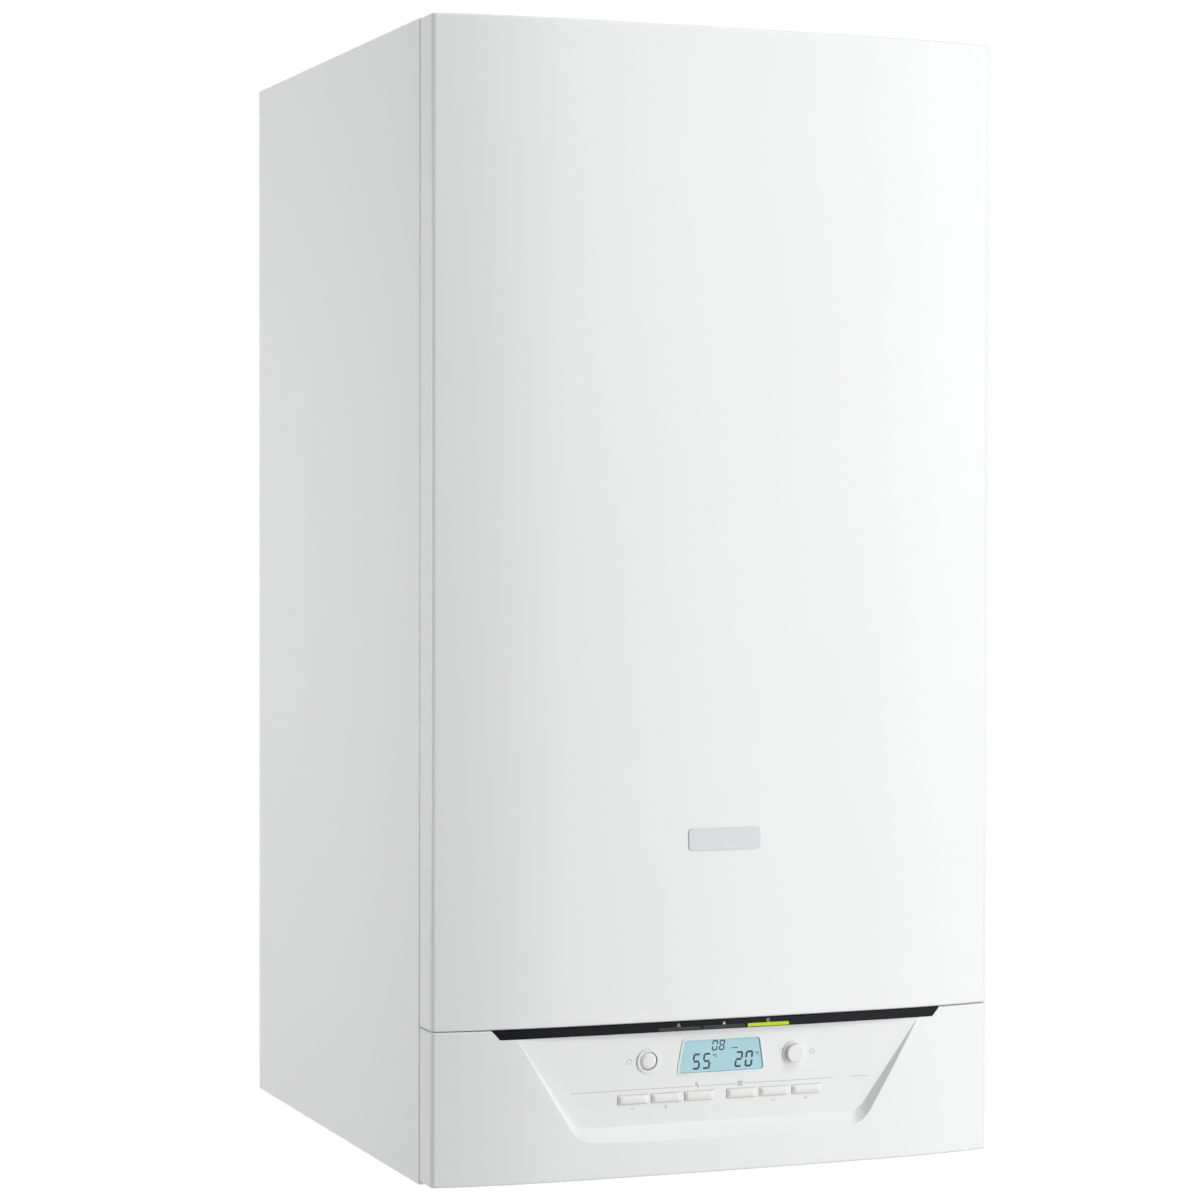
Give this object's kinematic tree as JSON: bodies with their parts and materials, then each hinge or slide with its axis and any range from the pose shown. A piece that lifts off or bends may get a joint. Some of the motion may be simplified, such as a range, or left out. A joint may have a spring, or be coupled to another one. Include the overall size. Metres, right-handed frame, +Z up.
{
  "type": "wall-hung condensing gas boiler",
  "caption": "White wall-hung gas boiler with a bowed lift-off front, a tilting control panel with display, keys and round buttons, storage cylinders, heat cell, fan and pump inside.",
  "frame": {"origin": "bottom centre of the casing's flat wall face", "axes": "+X to the right seen from the front, +Y into the wall, +Z up; the front looks along -Y"},
  "size_m": [0.47, 0.5108, 0.944],
  "materials": {
    "white_paint": "satin white powder coat",
    "white_plastic": "satin moulded white",
    "badge_silver": "brushed, blank",
    "black_gloss": "piano black",
    "light_lens": "translucent lens",
    "display_glass": "pale blue liquid-crystal face under a clear lens",
    "display_body": "pale blue liquid-crystal module",
    "key_white": "fine texture",
    "key_cream": "fine texture, cream",
    "galvanised": "zinc coated sheet",
    "zinc_screw": "zinc plated",
    "stainless": "stainless",
    "cast_aluminium": "as cast",
    "black_plastic": "glass filled",
    "grey_plastic": "moulded",
    "red_plastic": "moulded red",
    "vessel_red": "stove enamel",
    "copper": "drawn copper tube",
    "brass": "forged brass",
    "pump_iron": "cast and painted",
    "board_green": "solder resist",
    "foam": "closed-cell strip",
    "hose_grey": "corrugated hose",
    "ceramic_white": "glazed insulator"
  },
  "bodies": {
    "casing": {"air_intake": "grey_plastic", "base_panel": "galvanised", "burner_door": "cast_aluminium", "burner_tube": "stainless", "cable_gland": "black_plastic", "condensate_hose": "hose_grey", "condensate_trap": "grey_plastic", "cover_seal": "foam", "diverter_motor": "grey_plastic", "diverter_valve": "grey_plastic", "exchanger_pipes": "copper", "expansion_vessel": "vessel_red", "fan_housing": "cast_aluminium", "fan_motor": "black_plastic", "fixing_screws": "zinc_screw", "flow_pipe": "copper", "flue_collar": "grey_plastic", "flue_duct": "grey_plastic", "gas_pipe": "copper", "gas_valve": "cast_aluminium", "hanger_bar": "galvanised", "heat_exchanger": "stainless", "ignition_electrode": "ceramic_white", "left_side_panel": "white_paint", "mid_frame": "galvanised", "plate_exchanger": "stainless", "pump_body": "pump_iron", "pump_motor": "pump_iron", "rear_frame": "galvanised", "return_pipe": "copper", "right_side_panel": "white_paint", "safety_valve": "brass", "storage_tanks": "stainless", "top_panel": "white_paint", "wall_rail": "galvanised", "water_pipes": "copper", "wire_loom": "black_plastic"},
    "front_cover": {"front_cover": "white_paint", "badge_plate": "badge_silver"},
    "control_panel": {"control_fascia": "white_plastic", "indicator_strip": "black_gloss", "status_lights": "light_lens", "display_window": "display_glass", "display_module": "display_body", "key_board": "board_green", "control_box": "black_plastic", "control_box_lid": "black_plastic", "main_board": "board_green"},
    "reset_button": {"reset_button": "key_white"},
    "power_button": {"power_button": "key_white"},
    "fan_wheel": {"fan_impeller": "grey_plastic"},
    "pump_wheel": {"pump_impeller": "black_plastic"},
    "diverter_stem": {"diverter_stem": "stainless"},
    "safety_knob": {"safety_valve_knob": "red_plastic"},
    "water_minus_key": {"water_minus_key": "key_white"},
    "water_plus_key": {"water_plus_key": "key_white"},
    "menu_key": {"menu_key": "key_cream"},
    "heating_key": {"heating_key": "key_cream"},
    "heating_minus_key": {"heating_minus_key": "key_white"},
    "heating_plus_key": {"heating_plus_key": "key_white"}
  },
  "joints": [
    {"name": "cover_slide", "type": "slide", "parent": "casing", "child": "front_cover", "axis": [0, -1, 0], "range_m": [0, 0.35]},
    {"name": "panel_tilt", "type": "hinge", "parent": "casing", "child": "control_panel", "pos_m": [0, -0.45, 0.008], "axis": [1, 0, 0], "range_deg": [0, 90]},
    {"name": "water_minus_key_press", "type": "slide", "parent": "control_panel", "child": "water_minus_key", "axis": [0, 0.9973, 0.0741], "range_m": [0, 0.0012], "stiffness_N_per_m": 300},
    {"name": "water_plus_key_press", "type": "slide", "parent": "control_panel", "child": "water_plus_key", "axis": [0, 0.9973, 0.0741], "range_m": [0, 0.0012], "stiffness_N_per_m": 300},
    {"name": "menu_key_press", "type": "slide", "parent": "control_panel", "child": "menu_key", "axis": [0, 0.9973, 0.0741], "range_m": [0, 0.0012], "stiffness_N_per_m": 300},
    {"name": "heating_key_press", "type": "slide", "parent": "control_panel", "child": "heating_key", "axis": [0, 0.9973, 0.0741], "range_m": [0, 0.0012], "stiffness_N_per_m": 300},
    {"name": "heating_minus_key_press", "type": "slide", "parent": "control_panel", "child": "heating_minus_key", "axis": [0, 0.9973, 0.0741], "range_m": [0, 0.0012], "stiffness_N_per_m": 300},
    {"name": "heating_plus_key_press", "type": "slide", "parent": "control_panel", "child": "heating_plus_key", "axis": [0, 0.9973, 0.0741], "range_m": [0, 0.0012], "stiffness_N_per_m": 300},
    {"name": "reset_press", "type": "slide", "parent": "control_panel", "child": "reset_button", "axis": [0, 0.9973, 0.0741], "range_m": [0, 0.002], "stiffness_N_per_m": 300},
    {"name": "power_press", "type": "slide", "parent": "control_panel", "child": "power_button", "axis": [0, 0.9973, 0.0741], "range_m": [0, 0.003], "stiffness_N_per_m": 300},
    {"name": "fan_spin", "type": "hinge", "parent": "casing", "child": "fan_wheel", "pos_m": [0.048, -0.413, 0.44], "axis": [0, 1, 0], "continuous": true},
    {"name": "pump_spin", "type": "hinge", "parent": "casing", "child": "pump_wheel", "pos_m": [0.16, -0.25, 0.2], "axis": [0, 1, 0], "continuous": true},
    {"name": "diverter_stroke", "type": "slide", "parent": "casing", "child": "diverter_stem", "axis": [0, 1, 0], "range_m": [0, 0.006]},
    {"name": "safety_turn", "type": "hinge", "parent": "casing", "child": "safety_knob", "pos_m": [0.16, -0.295, 0.11], "axis": [0, 0, 1], "range_deg": [0, 90]}
  ]
}
